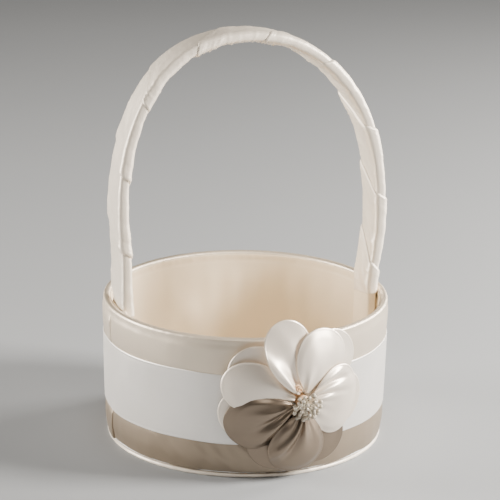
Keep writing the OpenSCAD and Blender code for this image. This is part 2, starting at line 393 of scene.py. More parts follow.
MATERIALS = {
    # The cover satin carries painted shade below the ribbon.
    "cover_satin": satin("cover_satin", (0.79, 0.69, 0.56), 0.40, 0.60, painted_foot_shade=PAINTED_FOOT_SHADE),
    "lining_satin": satin("lining_satin", (0.87, 0.755, 0.575), 0.50, 0.15),
    "ribbon_satin": satin("ribbon_satin", (0.88, 0.86, 0.83), 0.40, 0.50, thread=0.22),
    "wrap_satin": satin("wrap_satin", (0.91, 0.83, 0.72), 0.42, 0.30, thread=0.22, warp_along="V"),
    "petal_satin": satin("petal_satin", (0.93, 0.84, 0.735), 0.36, 0.50, thread=0.24, warp_along="V"),
    # Painted shade: a darker copy of the petal satin for the lower petals, which face down and away from
    # the lights.
    "taupe_satin": satin("taupe_satin", (0.27, 0.215, 0.165), 0.28, 0.80, thread=0.24, warp_along="V"),
    "felt": mottled("felt", (0.80, 0.78, 0.74), (0.90, 0.88, 0.85), 900, 0.9, 0.3),
    "batting": mottled("batting", (0.86, 0.86, 0.85), (0.95, 0.95, 0.94), 500, 0.95, 0.5),
    "chipboard": mottled("chipboard", (0.42, 0.34, 0.25), (0.62, 0.52, 0.40), 350, 0.85, 0.1),
    "handle_strip": mottled("handle_strip", (0.80, 0.78, 0.73), (0.86, 0.84, 0.79), 120, 0.5, 0.03),
    "staple_steel": mottled("staple_steel", *STEEL, 800, 0.3, 0.01, metallic=1.0),
    "tie_thread": mottled("tie_thread", (0.72, 0.45, 0.25), (0.86, 0.62, 0.40), 2500, 0.6, 0.06),
    "stamen_thread": mottled("stamen_thread", (0.80, 0.75, 0.64), (0.90, 0.86, 0.76), 2500, 0.6, 0.04),
    "stamen_pearl": mottled("stamen_pearl", *PEARL, 700, 0.25, 0.04, detail=3.0),
}
coated(MATERIALS["stamen_pearl"], 0.5)
coated(MATERIALS["cover_satin"], 0.5, 0.35)

KEPT_NODES = {
    "base_board": "chipboard",
    "wall_board": "chipboard",
    "floor_board": "chipboard",
    "wall_padding": "batting",
    "rim_padding": "batting",
    "handle_core": "handle_strip",
    "handle_staples": "staple_steel",
}


def finish_kept_nodes():
    """Gives the hidden pieces that keep their CAD shape their materials."""
    for name, slot in KEPT_NODES.items():
        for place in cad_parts[name].material_slots:
            place.material = MATERIALS[slot]


# ---- Base ----

MIDDLE_HOLE_R = 0.6
PUCKERS = 46


def close_middle(piece):
    """Fills the small hole that a revolved disc has round the axis."""
    closed = bmesh.new()
    closed.from_mesh(piece.data)
    near = 2 * MIDDLE_HOLE_R * MM
    rim = [e for e in closed.edges if e.is_boundary and e.verts[0].co.to_2d().length < near]
    bmesh.ops.holes_fill(closed, edges=rim)
    closed.to_mesh(piece.data)


def base_disc():
    """The board disc's satin: a flat underside, a soft edge and a hem on top."""
    edge_r = BASE_T / 2
    mid = (BASE_R - edge_r, edge_r)
    profile = (
        line((MIDDLE_HOLE_R, 0), (mid[0], 0), 40)
        + arc(mid, edge_r, -90, 90, 14)
        + line((mid[0] - 0.4, BASE_T), (BASE_R - 8, BASE_T), 6)
    )

    def pucker(angle, r, z, along):
        gathers = (1 + np.sin(PUCKERS * angle + 3 * np.sin(5 * angle))) / 2
        return -0.10 * smooth(r, BASE_R - 7, BASE_R) * gathers

    points, cloth = revolved(profile, 480, pucker)
    piece = grid_piece("base_disc_satin", points, cloth, "wrap_satin", wrap_rows=True, thickness=SATIN_T)
    close_middle(piece)
    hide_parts("base_cover")


# ---- Wall ----

def cover_profile():
    """The outer cover in section, from its turned-under foot over the rim to inside the wall."""
    foot = bowl_r(COVER_FOOT_Z)
    corner = 1.1
    return (
        line((foot - 4, COVER_FOOT_Z), (foot - corner, COVER_FOOT_Z), 4)
        + arc((foot - corner, COVER_FOOT_Z + corner), corner, -90, 0, 7)
        + line((bowl_r(COVER_FOOT_Z + corner + 0.4), COVER_FOOT_Z + corner + 0.4), (RIM_R, ROLL_Z), 86)
        + arc((ROLL_MID_R, ROLL_Z), ROLL_R, 0, 180, 18)
        + line((ROLL_MID_R - ROLL_R, ROLL_Z - 0.5), (ROLL_MID_R - ROLL_R - 0.2, ROLL_Z - 10), 6)
    )


def under_ribbon(z, fade):
    """1 where the ribbon covers the wall, and 0 beyond its edges by a fade."""
    above_low = smooth(z, RIBBON_LOW - fade, RIBBON_LOW + fade)
    above_high = smooth(z, RIBBON_HIGH - fade, RIBBON_HIGH + fade)
    return above_low * (1 - above_high)


def swell(z):
    """How far the batting pushes the cover out above and below the ribbon, which presses it in."""
    above = np.sin(math.pi * np.clip((z - RIBBON_HIGH) / (BOWL_H - RIBBON_HIGH), 0, 1)) ** 0.7
    below = np.sin(math.pi * np.clip((z - COVER_FOOT_Z) / (RIBBON_LOW - COVER_FOOT_Z), 0, 1)) ** 0.7
    pressed = smooth(z, RIBBON_LOW, RIBBON_LOW + 2) * (1 - smooth(z, RIBBON_HIGH - 2, RIBBON_HIGH))
    tucked = 0.5 * (1 - smooth(z, COVER_FOOT_Z, COVER_FOOT_Z + 9))
    return 0.40 * above + 0.55 * below - 0.30 * pressed - tucked


# How far along the cover's section its rim begins to turn in
TURN_IN_START = 71


def cover_relief(angle, r, z, along):
    """Batting that swells above and below the ribbon, and soft wrinkles."""
    turns = stack(RIM_R * np.cos(angle), RIM_R * np.sin(angle), z)
    outside = 1 - smooth(along, TURN_IN_START, TURN_IN_START + 4)
    degrees = np.degrees(angle)
    free = 1 - under_ribbon(z, 1)
    broad = 0.12 * soft_noise(turns * (1, 1, 0.6), 26, 3)
    fine = 0.05 * soft_noise(turns * (1, 1, 0.35), 7, 4)
    slanted = stack(RIM_R * angle + 0.8 * z, 0.25 * z)
    low = smooth(z, COVER_FOOT_Z, COVER_FOOT_Z + 4) * (1 - smooth(z, RIBBON_LOW - 3, RIBBON_LOW))
    pulled = 0.22 * soft_noise(slanted, 9, 5) * bump(degrees, 243, 22) * low
    rim_gathers = 0.05 * soft_noise(turns * (1, 1, 0.1), 3.2, 6) * smooth(z, ROLL_Z - 2, ROLL_Z + 1)
    return outside * (swell(z) + free * (broad + fine) + pulled) + rim_gathers


def outer_cover():
    points, cloth = revolved(cover_profile(), 720, cover_relief)
    piece = grid_piece(
        "outer_cover_satin", points, cloth, "cover_satin", wrap_rows=True, thickness=SATIN_T
    )
    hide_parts("outer_cover")


def cover_lap():
    """The folded end of the outer cover, which lies over its start in a vertical strip."""
    fold = 0.7
    quarter = np.linspace(0, math.pi / 2, 9)
    width = np.concatenate([fold * (1 - np.cos(quarter)), np.linspace(0.9, LAP_W, 22)])
    height = np.linspace(COVER_FOOT_Z + 0.5, ROLL_Z + 0.4, 90)
    across, z = np.meshgrid(width, height, indexing="ij")
    pressed = smooth(z, RIBBON_LOW - 2, RIBBON_LOW) * (1 - smooth(z, RIBBON_HIGH, RIBBON_HIGH + 2))
    high = 0.42 + 0.25 * (1 - smooth(z, 4, 16)) + 0.12 * soft_noise(stack(z), 22, 9)
    high = high * (1 - pressed) + 0.02 * pressed
    rounded = np.sqrt(1 - (1 - np.clip(across / fold, 0, 1)) ** 2)
    lift = (high + 0.2) * rounded - 0.2 - (high - 0.05) * smooth(across, 0.9, 9)
    lift = lift - 0.25 * smooth(across, 11, LAP_W)
    top = smooth(z, ROLL_Z - 7, ROLL_Z - 1)
    lift = lift * (1 - top) - 0.3 * top
    wander = 0.12 * np.sin(z / 9.0) * bump(across, 0, 3)
    angle = math.radians(LAP_ANGLE) - (across + wander) / bowl_r(z)
    r = bowl_r(z) + lift + cover_relief(angle, bowl_r(z), z, 0 * z)
    points = stack(r * np.cos(angle), r * np.sin(angle), z)
    piece = grid_piece("cover_lap_fold", points, stack(-across, z), "cover_satin", thickness=LAP_T)
    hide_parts("cover_lap")


def to_leg(angle, z):
    """How far the lining is drawn in behind the hoop's legs, so that it lies against them."""
    depth = np.maximum(ROLL_Z - z, 0)
    shift = depth * math.sin(math.radians(HANDLE_LEAN))
    y = RIM_R * np.sin(angle) + shift
    radius = inside_r(z)
    gap = np.sqrt(np.maximum(radius**2 - y**2, 0)) - np.sqrt(radius**2 - (HANDLE_W / 2 + shift) ** 2)
    slack = 0.6 - 0.8 * smooth(z, 69, 71.5)
    near = (1 - smooth(np.abs(y), 10.5, 14)) * smooth(z, LINING_TOP_Z - 26, LINING_TOP_Z - 16)
    return np.clip(gap + slack, 0, 2) * near


def wall_lining():
    """Cream lining with a rolled hem just under the rim and soft upright folds below it."""
    hem_r = 0.35
    top = LINING_TOP_Z - hem_r
    inner_top = inside_r(top)
    profile = (
        line((inside_r(FLOOR_Z) + 0.1, FLOOR_Z - 0.6), (inner_top, top), 70)
        + arc((inner_top + hem_r, top), hem_r, 180, 0, 9)
        + line((inner_top + 2 * hem_r, top - 0.4), (inner_top + 2 * hem_r, top - 1.6), 3)
    )

    def relief(angle, r, z, along):
        turns = stack(RIM_R * np.cos(angle), RIM_R * np.sin(angle), 0.25 * z)
        at_legs = np.maximum(bump(np.cos(angle), 1, 0.045), bump(np.cos(angle), -1, 0.045))
        loose = smooth(LINING_TOP_Z - z, 0.8, 16) * (1 - 0.75 * smooth(FLOOR_Z + 8 - z, 0, 8))
        loose = loose * (1 - at_legs)
        wave = 5 * angle + 0.8 * np.sin(2 * angle + 0.6) + 0.018 * (z - 40)
        folds = 0.55 + 0.45 * np.sin(wave)
        creases = 0.22 * soft_noise(turns, 17, 11)
        hem = 0.10 * soft_noise(turns, 6, 12) * bump(z, LINING_TOP_Z - 1, 2)
        seam = 0.22 * bump(z, LINING_TOP_Z - 3.4, 0.5)
        degrees = np.degrees(angle)
        high = smooth(z, LINING_TOP_Z - 12, LINING_TOP_Z - 3)
        pleat = 1.6 * bump(degrees, 191.5, 1.8) * high
        pulled = 1.3 * bump(degrees, 98 + 0.35 * (z - 35), 7)
        pulled = pulled * (1 - smooth(z, 42, 64)) * smooth(z, FLOOR_Z, FLOOR_Z + 12)
        inward = (1.1 * folds + creases) * loose + hem + pleat + pulled + to_leg(angle, z)
        return seam - np.maximum(inward, -0.1)

    points, cloth = revolved(profile, 600, relief)
    piece = grid_piece(
        "wall_lining_satin", points, cloth, "lining_satin", wrap_rows=True, flip=True, thickness=LINING_T
    )
    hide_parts("wall_lining")


def floor_lining():
    edge = inside_r(FLOOR_Z) - 0.5
    turn = arc((edge - 2, FLOOR_Z - 1.0), 1.0, 90, 20, 6)
    profile = line((MIDDLE_HOLE_R, FLOOR_Z), (edge - 2, FLOOR_Z), 60) + turn

    def relief(angle, r, z, along):
        flat = stack(r * np.cos(angle), r * np.sin(angle))
        puff = 0.35 * (1 - smooth(r, edge - 14, edge - 1))
        return -puff - 0.12 * soft_noise(flat, 24, 21) * (1 - smooth(r, edge - 6, edge))

    points, _ = revolved(profile, 360, relief)
    cloth = stack(points[..., 0], points[..., 1])
    cloth = np.concatenate([cloth, cloth[:1]])
    piece = grid_piece(
        "floor_lining_satin", points, cloth, "lining_satin", wrap_rows=True, flip=True, thickness=LINING_T
    )
    close_middle(piece)
    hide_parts("floor_lining")


def ribbon_band():
    """The white ribbon: a flat band with a firm woven edge, laid round the bowl."""
    start = math.radians(-90 + FLOWER_TURN + 0.5)
    angle = start + np.linspace(0, math.radians(359), 900)
    width = RIBBON_HIGH - RIBBON_LOW
    across = width * (0.5 - 0.5 * np.cos(np.linspace(0, math.pi, 46)))
    angle, across = np.meshgrid(angle, across, indexing="ij")
    sway = 0.18 * soft_noise(stack(60 * np.cos(angle), 60 * np.sin(angle)), 40, 31)
    z = RIBBON_LOW + across + sway
    from_edge = np.minimum(across, width - across)
    selvedge = 0.14 * bump(from_edge, 0.45, 0.4) - 0.16 * bump(from_edge, 0, 0.3)
    hug = -0.10 * (1 - smooth(from_edge, 0.6, 3))
    around = stack(RIM_R * np.cos(angle), RIM_R * np.sin(angle), 0.5 * z)
    slack = 0.10 * soft_noise(around, 30, 32) + 0.03 * soft_noise(around, 8, 33)
    r = bowl_r(z) + RIBBON_UNDER + SATIN_T + selvedge + hug + slack
    points = stack(r * np.cos(angle), r * np.sin(angle), z)
    cloth = stack(RIM_R * angle, across)
    piece = grid_piece("ribbon_band_satin", points, cloth, "ribbon_satin", thickness=RIBBON_T)
    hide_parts("ribbon_band")


# ---- Handle ----

def tail_x(depth):
    half = HANDLE_W / 2 + depth * math.sin(math.radians(HANDLE_LEAN))
    return math.sqrt(inside_r(ROLL_Z - depth) ** 2 - half**2) - HANDLE_T / 2 - TAIL_GAP


def leg_x(u):
    drop = HANDLE_HALF_SPAN - tail_x(0)
    end_slope = (tail_x(0) - tail_x(2)) / 2 * (HANDLE_WIDE_Z - ROLL_Z)
    return HANDLE_HALF_SPAN - drop * (3 * u**2 - 2 * u**3) - end_slope * (u**3 - u**2)


def hoop_points():
    """The hoop's middle line in its own plane, from the left tail's end to the right one's."""
    right = [(tail_x(d), ROLL_Z - d) for d in np.linspace(TAIL_LEN, 1, 40)]
    right += [
        (leg_x(u), HANDLE_WIDE_Z - u * (HANDLE_WIDE_Z - ROLL_Z)) for u in np.linspace(1, 0.02, 50)
    ]
    power = 2 / HANDLE_SQUARENESS
    rise = HANDLE_TOP_Z - HANDLE_WIDE_Z
    for a in np.radians(np.linspace(0, 90, 160)):
        out = HANDLE_HALF_SPAN * max(math.cos(a), 0) ** power
        right.append((out, HANDLE_WIDE_Z + rise * math.sin(a) ** power))
    right = np.array(right)
    left = right[:-1] * (-1, 1)
    whole = np.concatenate([left, right[::-1]])
    z = whole[:, 1]
    bow = HANDLE_BOW * smooth(z, ROLL_Z, 106) * (1 - 0.85 * smooth(z, 165, HANDLE_TOP_Z))
    return whole + stack(bow, 0 * bow)


HOOP = hoop_points()
HOOP_S = np.concatenate([[0], np.cumsum(np.hypot(*np.diff(HOOP, axis=0).T))])
HOOP_LENGTH = HOOP_S[-1]


def hoop_frame(s):
    """The hoop's point and outward normal at lengths s along it, in its own plane."""
    s = np.asarray(s, float)
    point = stack(np.interp(s, HOOP_S, HOOP[:, 0]), np.interp(s, HOOP_S, HOOP[:, 1]))
    step = 1.5
    ahead = stack(np.interp(s + step, HOOP_S, HOOP[:, 0]), np.interp(s + step, HOOP_S, HOOP[:, 1]))
    behind = stack(np.interp(s - step, HOOP_S, HOOP[:, 0]), np.interp(s - step, HOOP_S, HOOP[:, 1]))
    along = ahead - behind
    along /= np.linalg.norm(along, axis=-1)[..., None]
    return point, stack(-along[..., 1], along[..., 0])


def leaned(points):
    """Points of the upright hoop, leaned back about the rim's height."""
    lean = math.radians(HANDLE_LEAN)
    x, y, z = points[..., 0], points[..., 1], points[..., 2] - ROLL_Z
    back = y * math.cos(lean) + z * math.sin(lean)
    return stack(x, back, ROLL_Z - y * math.sin(lean) + z * math.cos(lean))


CORE_HALF_T = 2.1
CORE_HALF_W = 11.2
CORE_CORNER = 1.3
CORE_FLAT_T = 2 * (CORE_HALF_T - CORE_CORNER)
CORE_FLAT_W = 2 * (CORE_HALF_W - CORE_CORNER)
CORE_QUARTER = math.pi / 2 * CORE_CORNER
CORE_ROUND = 2 * CORE_FLAT_T + 2 * CORE_FLAT_W + 4 * CORE_QUARTER
INNER_START = CORE_FLAT_T * 1.5 + CORE_QUARTER * 3 + CORE_FLAT_W
INNER_END = INNER_START + CORE_FLAT_W


def section_point(t, lift):
    """The strip's section at distance t round it, moved out by lift: (outward, back).

    t starts in the middle of the front edge and runs over the outer face to the back edge,
    then over the inner face.
    """
    t = np.mod(np.asarray(t, float), CORE_ROUND)
    flat_t, flat_w, quarter = CORE_FLAT_T, CORE_FLAT_W, CORE_QUARTER
    half_round = [quarter, flat_w, quarter]
    ends = np.cumsum([flat_t / 2, *half_round, flat_t, *half_round, flat_t / 2])
    radius = CORE_CORNER + lift
    ht, hw = flat_t / 2, flat_w / 2
    out, back = np.zeros_like(t), np.zeros_like(t)
    which = np.searchsorted(ends, t, side="right").clip(0, 8)
    begin = np.concatenate([[0], ends])[which]
    d = t - begin
    turn = d / CORE_CORNER
    cases = [
        (d, -hw - radius),
        (ht + radius * np.sin(turn), -hw - radius * np.cos(turn)),
        (ht + radius, -hw + d),
        (ht + radius * np.cos(turn), hw + radius * np.sin(turn)),
        (ht - d, hw + radius),
        (-ht - radius * np.sin(turn), hw + radius * np.cos(turn)),
        (-ht - radius, hw - d),
        (-ht - radius * np.cos(turn), -hw - radius * np.sin(turn)),
        (-ht + d, -hw - radius),
    ]
    for k, (o, b) in enumerate(cases):
        out = np.where(which == k, o, out)
        back = np.where(which == k, b, back)
    return out, back


def on_hoop(s, t, lift):
    """Points on the handle at length s along it and t round it."""
    point, normal = hoop_frame(s)
    out, back = section_point(t, lift)
    flat = point + normal * out[..., None]
    return leaned(stack(flat[..., 0], back, flat[..., 1]))


WRAP_RIBBON_W = 38.0
WRAP_PITCH = 39.2
WRAP_START = 13.2
WRAP_STEP = 0.5
WRAP_LAYER = 0.42
# How far a turn's covering edge stands out over the turn before, and how that edge rolls down
WRAP_SHINGLE = 1.1
WRAP_FOLD_DROP = 0.78
WRAP_FOLD_W = 1.3


def cut_below(piece, height, side, tilt):
    """Cuts away what lies below a height on one leg, on a plane tilted beyond the lean."""
    lean = math.radians(HANDLE_LEAN)
    up = Vector((0, math.sin(lean), math.cos(lean)))
    point = Vector((0, 0, ROLL_Z)) + up * (height - ROLL_Z)
    slope = math.radians(HANDLE_LEAN + tilt)
    normal = Vector((0, math.sin(slope), math.cos(slope)))
    cut = bmesh.new()
    cut.from_mesh(piece.data)
    faces = [f for f in cut.faces if f.calc_center_median().x * side > 0]
    parts = set(faces)
    for f in faces:
        parts.update(f.verts)
        parts.update(f.edges)
    bmesh.ops.bisect_plane(cut, geom=list(parts), plane_co=point * MM, plane_no=normal, clear_inner=True)
    cut.to_mesh(piece.data)


def hoop_bend(s):
    """How sharply the hoop bends at lengths s along it, per millimetre."""
    step = 6.0
    ahead, behind = hoop_frame(np.asarray(s) + step)[1], hoop_frame(np.asarray(s) - step)[1]
    return np.linalg.norm(ahead - behind, axis=-1) / (2 * step)


def handle_wrap():
    """One satin ribbon, wound up the left leg, over the top and down the right leg.

    a runs along the ribbon and b across it. Each turn laps over the one before.
    """
    turn_length = math.hypot(WRAP_PITCH, CORE_ROUND)
    step_s, step_t = WRAP_PITCH / turn_length, CORE_ROUND / turn_length
    first = WRAP_START + WRAP_RIBBON_W / 2 / step_t
    length = (HOOP_LENGTH + 10) / step_s
    a = np.linspace(0, length, int(length / WRAP_STEP))
    b = WRAP_RIBBON_W * (0.5 - 0.5 * np.cos(np.linspace(0, math.pi, 72)))
    a, b = np.meshgrid(a, b, indexing="ij")
    s = first + a * step_s + (b - WRAP_RIBBON_W / 2) * step_t
    s = s + 1.3 * soft_noise(stack(a), 210, 43)
    t = a * step_t - (b - WRAP_RIBBON_W / 2) * step_s
    s_on = np.clip(s, 2, HOOP_LENGTH - 2)
    at_top = bump(s, HOOP_LENGTH / 2 - 12, 60)
    shingle = WRAP_SHINGLE * (1 - 0.5 * at_top) * np.clip(1 - b / WRAP_RIBBON_W, 0, 1) ** 1.3
    fold = -WRAP_FOLD_DROP * np.clip(1 - b / WRAP_FOLD_W, 0, 1) ** 2
    round_t = np.mod(t, CORE_ROUND)
    inner = smooth(round_t, INNER_START - 1.5, INNER_START + 2)
    inner = inner * (1 - smooth(round_t, INNER_END - 2, INNER_END + 1.5))
    bend = hoop_bend(np.clip(s_on, 8, HOOP_LENGTH - 8))
    visible = WRAP_PITCH * step_t
    part = np.mod(2 * b / visible + 0.05 * soft_noise(stack(a), 60, 45), 1)
    chord = 0.5 * WRAP_PITCH
    taut = 1.3 * bend * chord**2 / 8 * (1 - (2 * part - 1) ** 2) * inner
    run = stack(a, 3.4 * b)
    soft = (0.09 + 0.06 * inner) * soft_noise(run, 22, 41) + 0.05 * soft_noise(stack(a, 5 * b), 9, 42)
    tight = inner * np.clip(80 * bend - 0.3, 0, 1)
    sharp = bump(soft_noise(run, 34, 44), 0, 0.10) * (0.14 + 0.5 * tight)
    shown = smooth(b, 0, 3) * (1 - smooth(b, visible - 3, visible))
    lift = WRAP_LAYER + shingle + fold + taut + (soft + sharp) * shown
    points = on_hoop(s_on, t, lift)
    piece = grid_piece("handle_wrap_ribbon", points, stack(b, a), "wrap_satin", flip=True, thickness=WRAP_T)
    cut_below(piece, WRAP_END_Z, -1, 0)
    cut_below(piece, WRAP_END_Z + 0.6, 1, 5)
    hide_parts("handle_wrap")


def tail_cover(side, name):
    """Lining satin round one tail of the strip, glued to the wall inside the bowl."""
    end = TAIL_LEN + (WRAP_END_Z - ROLL_Z) + 3
    s = np.linspace(0.5, end, 60)
    if side > 0:
        s = HOOP_LENGTH - s
    t = np.linspace(0, CORE_ROUND, 140)[:-1]
    t, s = np.meshgrid(t, s, indexing="ij")
    places = stack(t, s * 0.3)
    lift = 0.28 + 0.05 * soft_noise(places, 9, 51 + side)
    points = on_hoop(s, t, lift)
    cloth = stack(np.concatenate([t, t[:1] + CORE_ROUND]), np.concatenate([s, s[:1]]))
    piece = grid_piece(
        name + "_satin", points, cloth, "lining_satin",
        wrap_rows=True, flip=side > 0, thickness=TAIL_COVER_T,
    )
    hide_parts(name)


# ---- Flower ----

def on_bowl(x, out, z, curved=True):
    """Flower points, from right, outward and up, to the basket's frame, curved round the bowl or not."""
    turn = math.radians(FLOWER_TURN)
    curve = x**2 / (2 * FLOWER_CURVE_R) if curved else 0
    y = curve - out - FLOWER_R
    right, back = x * math.cos(turn) - y * math.sin(turn), x * math.sin(turn) + y * math.cos(turn)
    return stack(right, back, z + FLOWER_Z)


PETAL_ROOT = 4.6
ROOT_DIP = 1.6
PETAL_FULLNESS = 0.45


class Petal:
    """One petal's shape, in millimetres and degrees.

    direction: from the right, towards the top.
    base, rise: the height over the ribbon on the petal's axis, and its gain per degree to one side.
    crown, lip, cup, tip: the middle's swell, the edge's lift, one side's lift and the drop to the tip.
    root: the power of the width's growth from the root.
    gathers, period: the height and spacing of the gathers at the root.
    folds: each is its direction from the axis, height, width, reach as a share of the length, and turn.
    """

    def __init__(self, direction, half_w, length, base, crown, rise, root=0.36, lip=0.0, cup=0.0,
                 tip=1.2, folds=(), gathers=0.6, period=24.0, seed=0, slot="petal_satin"):
        self.direction, self.half_w, self.length = direction, half_w, length
        self.base, self.crown, self.rise, self.root = base, crown, rise, root
        self.lip, self.cup, self.tip, self.folds = lip, cup, tip, folds
        self.gathers, self.period, self.seed, self.slot = gathers, period, seed, slot


# Direction, half width and length of each back petal
BACK_OUTLINES = [
    (-8, 17, 37),
    (50, 17, 41),
    (146, 16.5, 41),
    (194, 16.5, 41.5),
    (241, 16, 40.5),
    (297, 16.5, 39),
]
# Back petals from this one on are the lower ones and take the darker copy of the petal satin, as painted
# shade.
FIRST_SHADED_BACK_PETAL = 4
BACK_PETALS = [
    Petal(*outline, base=3.4, crown=0.8, rise=0.02, lip=0.3, tip=2.4, gathers=0.3, seed=60 + i,
          slot="taupe_satin" if i >= FIRST_SHADED_BACK_PETAL else "petal_satin")
    for i, outline in enumerate(BACK_OUTLINES)
]
FRONT_PETALS = [
    Petal(-5, 23, 33, 8.6, 1.4, 0.035, root=0.22, lip=-1.0, tip=4.4, gathers=0.3, seed=71,
          folds=((45, 0.9, 5, 1.0, -18), (36, -1.7, 3.2, 0.72, -22), (27, 1.2, 5, 0.7, -22),
                 (17, -1.5, 3.2, 0.6, -18), (8, 0.8, 6, 0.5, -10))),
    Petal(67, 16.8, 39.5, 8.8, 2.4, 0.045, lip=-0.4, tip=3.8, gathers=0.25, seed=72,
          folds=((-24, -1.4, 9, 0.6, 0), (14, 0.6, 9, 0.4, 0))),
    Petal(106, 14.8, 45, 8.2, 0.8, 0.12, cup=0.8, tip=3.4, gathers=0.3, seed=73,
          folds=((24, 1.9, 7, 1.1, 6), (9, -1.0, 6, 0.7, 0), (-3, 1.0, 5, 0.5, 0))),
    Petal(162, 15.5, 41.5, 8.4, 1.4, 0.0, lip=-0.3, tip=5.0, gathers=0.3, seed=74,
          folds=((-12, 0.9, 9, 0.6, 0), (14, -0.7, 8, 0.5, 0))),
    # The two lower front petals take the darker copy of the petal satin, as painted shade.
    Petal(204, 16.8, 40.5, 8.8, 2.2, -0.045, lip=-1.0, tip=6.4, gathers=0.35, seed=75, slot="taupe_satin",
          folds=((-12, 1.2, 7, 0.8, 0), (2, -1.7, 5, 0.75, 4), (14, 1.9, 6, 0.9, 6),
                 (27, -1.2, 5, 0.7, 0))),
    Petal(265, 18.2, 39.8, 8.8, 2.4, -0.04, lip=-1.2, tip=6.4, gathers=0.35, seed=76, slot="taupe_satin",
          folds=((-17, 2.4, 6, 1.2, -26), (-7, -1.5, 4, 0.8, -16), (3, 2.2, 7, 0.55, 0),
                 (18, -0.9, 7, 0.6, 0))),
]


def petal_surface(p, q, petal):
    """A petal's middle surface over a unit disc, where q runs from root to tip.

    Gives right, outward and up, and the place on the flat cloth.
    """
    f = (q + 1) / 2
    r = PETAL_ROOT + (petal.length - PETAL_ROOT) * f
    widest = petal.half_w * 1.13
    side = p * widest * (f + 0.02) ** petal.root
    turn = np.arctan2(side, r)
    theta = np.degrees(turn)
    v = side / widest
    limit = np.sqrt(np.maximum(1 - q**2, 0.04)) * (f + 0.02) ** petal.root
    across = np.clip(v / limit, -1, 1)
    edge = np.hypot(p, q)
    wobble = 1 + 0.12 * soft_noise(stack(f, 0.02 * theta), 0.9, petal.seed + 5)
    height = petal.base - ROOT_DIP * (1 - f) ** 2 - petal.tip * np.maximum(f, 0) ** 2.2
    height = height + petal.crown * np.sin(math.pi * f**0.8) * (1 - across**2) * wobble
    height = height + petal.rise * theta
    height = height + petal.lip * smooth(edge, 0.72, 1.0) * smooth(f, 0.2, 0.5)
    height = height + petal.cup * smooth(v, 0.1, 1.0) ** 1.5 * smooth(f, 0.0, 0.4)
    near_root = np.exp(-((f / 0.38) ** 2))
    height = height + petal.gathers * near_root * np.cos(2 * math.pi * theta / petal.period + petal.seed)
    for place, high, wide, reach, turning in petal.folds:
        sway = place + turning * (f - 0.4) + 2 * np.sin(2.5 * f + petal.seed)
        fade = np.exp(-((f / reach) ** 3)) * smooth(f, -0.1, 0.2)
        height = height + high * bump(theta, sway, wide) * fade
    height = height + 0.16 * soft_noise(stack(side, r), 15, petal.seed)
    angle = math.radians(petal.direction) + turn
    away = r * (1 - PETAL_FULLNESS) + np.hypot(side, r) * PETAL_FULLNESS
    return away * np.cos(angle), height, away * np.sin(angle), side, r


PETAL_STEPS = 64
PETAL_T = 0.62
PETAL_BEAD = 0.13
PETAL_EDGE = 0.05


def petal_piece(node_name, petal):
    """A petal of two satin layers, sewn and turned, with a soft round edge."""
    w = np.linspace(-1, 1, PETAL_STEPS + 1)
    w = np.sin(w * math.pi / 2) * 0.6 + w * 0.4
    a, b = np.meshgrid(w, w, indexing="ij")
    p, q = a * np.sqrt(1 - b * b / 2), b * np.sqrt(1 - a * a / 2)
    x, out, z, side, r = petal_surface(p, q, petal)
    edge = np.clip(np.hypot(p, q), 0, 1)
    half_t = PETAL_T / 2 * np.sqrt(np.clip(1 - edge**24, 0, 1)) + PETAL_BEAD * bump(edge, 0.97, 0.016)
    half_t[[0, -1], :] = PETAL_EDGE
    half_t[:, [0, -1]] = PETAL_EDGE
    front, back = on_bowl(x, out + half_t, z), on_bowl(x, out - half_t, z)
    n = PETAL_STEPS + 1
    front_faces, where = grid_faces(n, n, flip=True)
    back_faces, back_where = grid_faces(n, n, flip=False, start=n * n)
    ring = [(i, 0) for i in range(n)] + [(n - 1, j) for j in range(1, n)]
    ring += [(i, n - 1) for i in range(n - 2, -1, -1)] + [(0, j) for j in range(n - 2, 0, -1)]
    ring = np.array(ring)
    after = np.roll(ring, -1, axis=0)
    one, two = ring[:, 0] * n + ring[:, 1], after[:, 0] * n + after[:, 1]
    edge_faces = np.stack([one, two, two + n * n, one + n * n], axis=1)
    edge_where = np.stack([ring, after, after, ring], axis=1)
    faces = np.concatenate([front_faces, back_faces, edge_faces])
    corner = np.concatenate([where, back_where, edge_where])
    cloth = stack(side, r)
    uvs = cloth[corner[..., 0], corner[..., 1]] * MM
    points = np.concatenate([front.reshape(-1, 3), back.reshape(-1, 3)])
    piece = mesh_piece(node_name + "_satin", points, faces.tolist(), petal.slot, uvs)
    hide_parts(node_name)


def petals():
    for layer, shapes in (("back", BACK_PETALS), ("front", FRONT_PETALS)):
        for i, petal in enumerate(shapes):
            petal_piece(f"{layer}_petal_{i + 1}", petal)


def ring_faces(rows, columns):
    """Faces over rings of points, with a cap at each end."""
    faces = []
    for i in range(rows - 1):
        one, two = i * columns, (i + 1) * columns
        for j in range(columns):
            k = (j + 1) % columns
            faces.append((one + j, one + k, two + k, two + j))
    faces.append(tuple(range(columns))[::-1])
    faces.append(tuple((rows - 1) * columns + j for j in range(columns)))
    return faces


def tube(path, radius, sides=7):
    """Points and faces of a closed tube along a path of points."""
    path = np.asarray(path, float)
    tangent = np.gradient(path, axis=0)
    tangent /= np.linalg.norm(tangent, axis=1)[:, None]
    helper = np.array([0.3, 0.2, 0.93])
    first = np.cross(tangent, helper)
    first /= np.linalg.norm(first, axis=1)[:, None]
    second = np.cross(tangent, first)
    radius = np.broadcast_to(radius, len(path))
    angle = np.arange(sides) * 2 * math.pi / sides
    ring = first[:, None] * np.cos(angle)[None, :, None] + second[:, None] * np.sin(angle)[None, :, None]
    points = path[:, None] + ring * radius[:, None, None]
    return points.reshape(-1, 3), ring_faces(len(path), sides)


def joined(parts):
    """Several (points, faces) as one."""
    points, faces, start = [], [], 0
    for p, f in parts:
        points.append(p)
        faces += [tuple(v + start for v in face) for face in f]
        start += len(p)
    return np.concatenate(points), faces


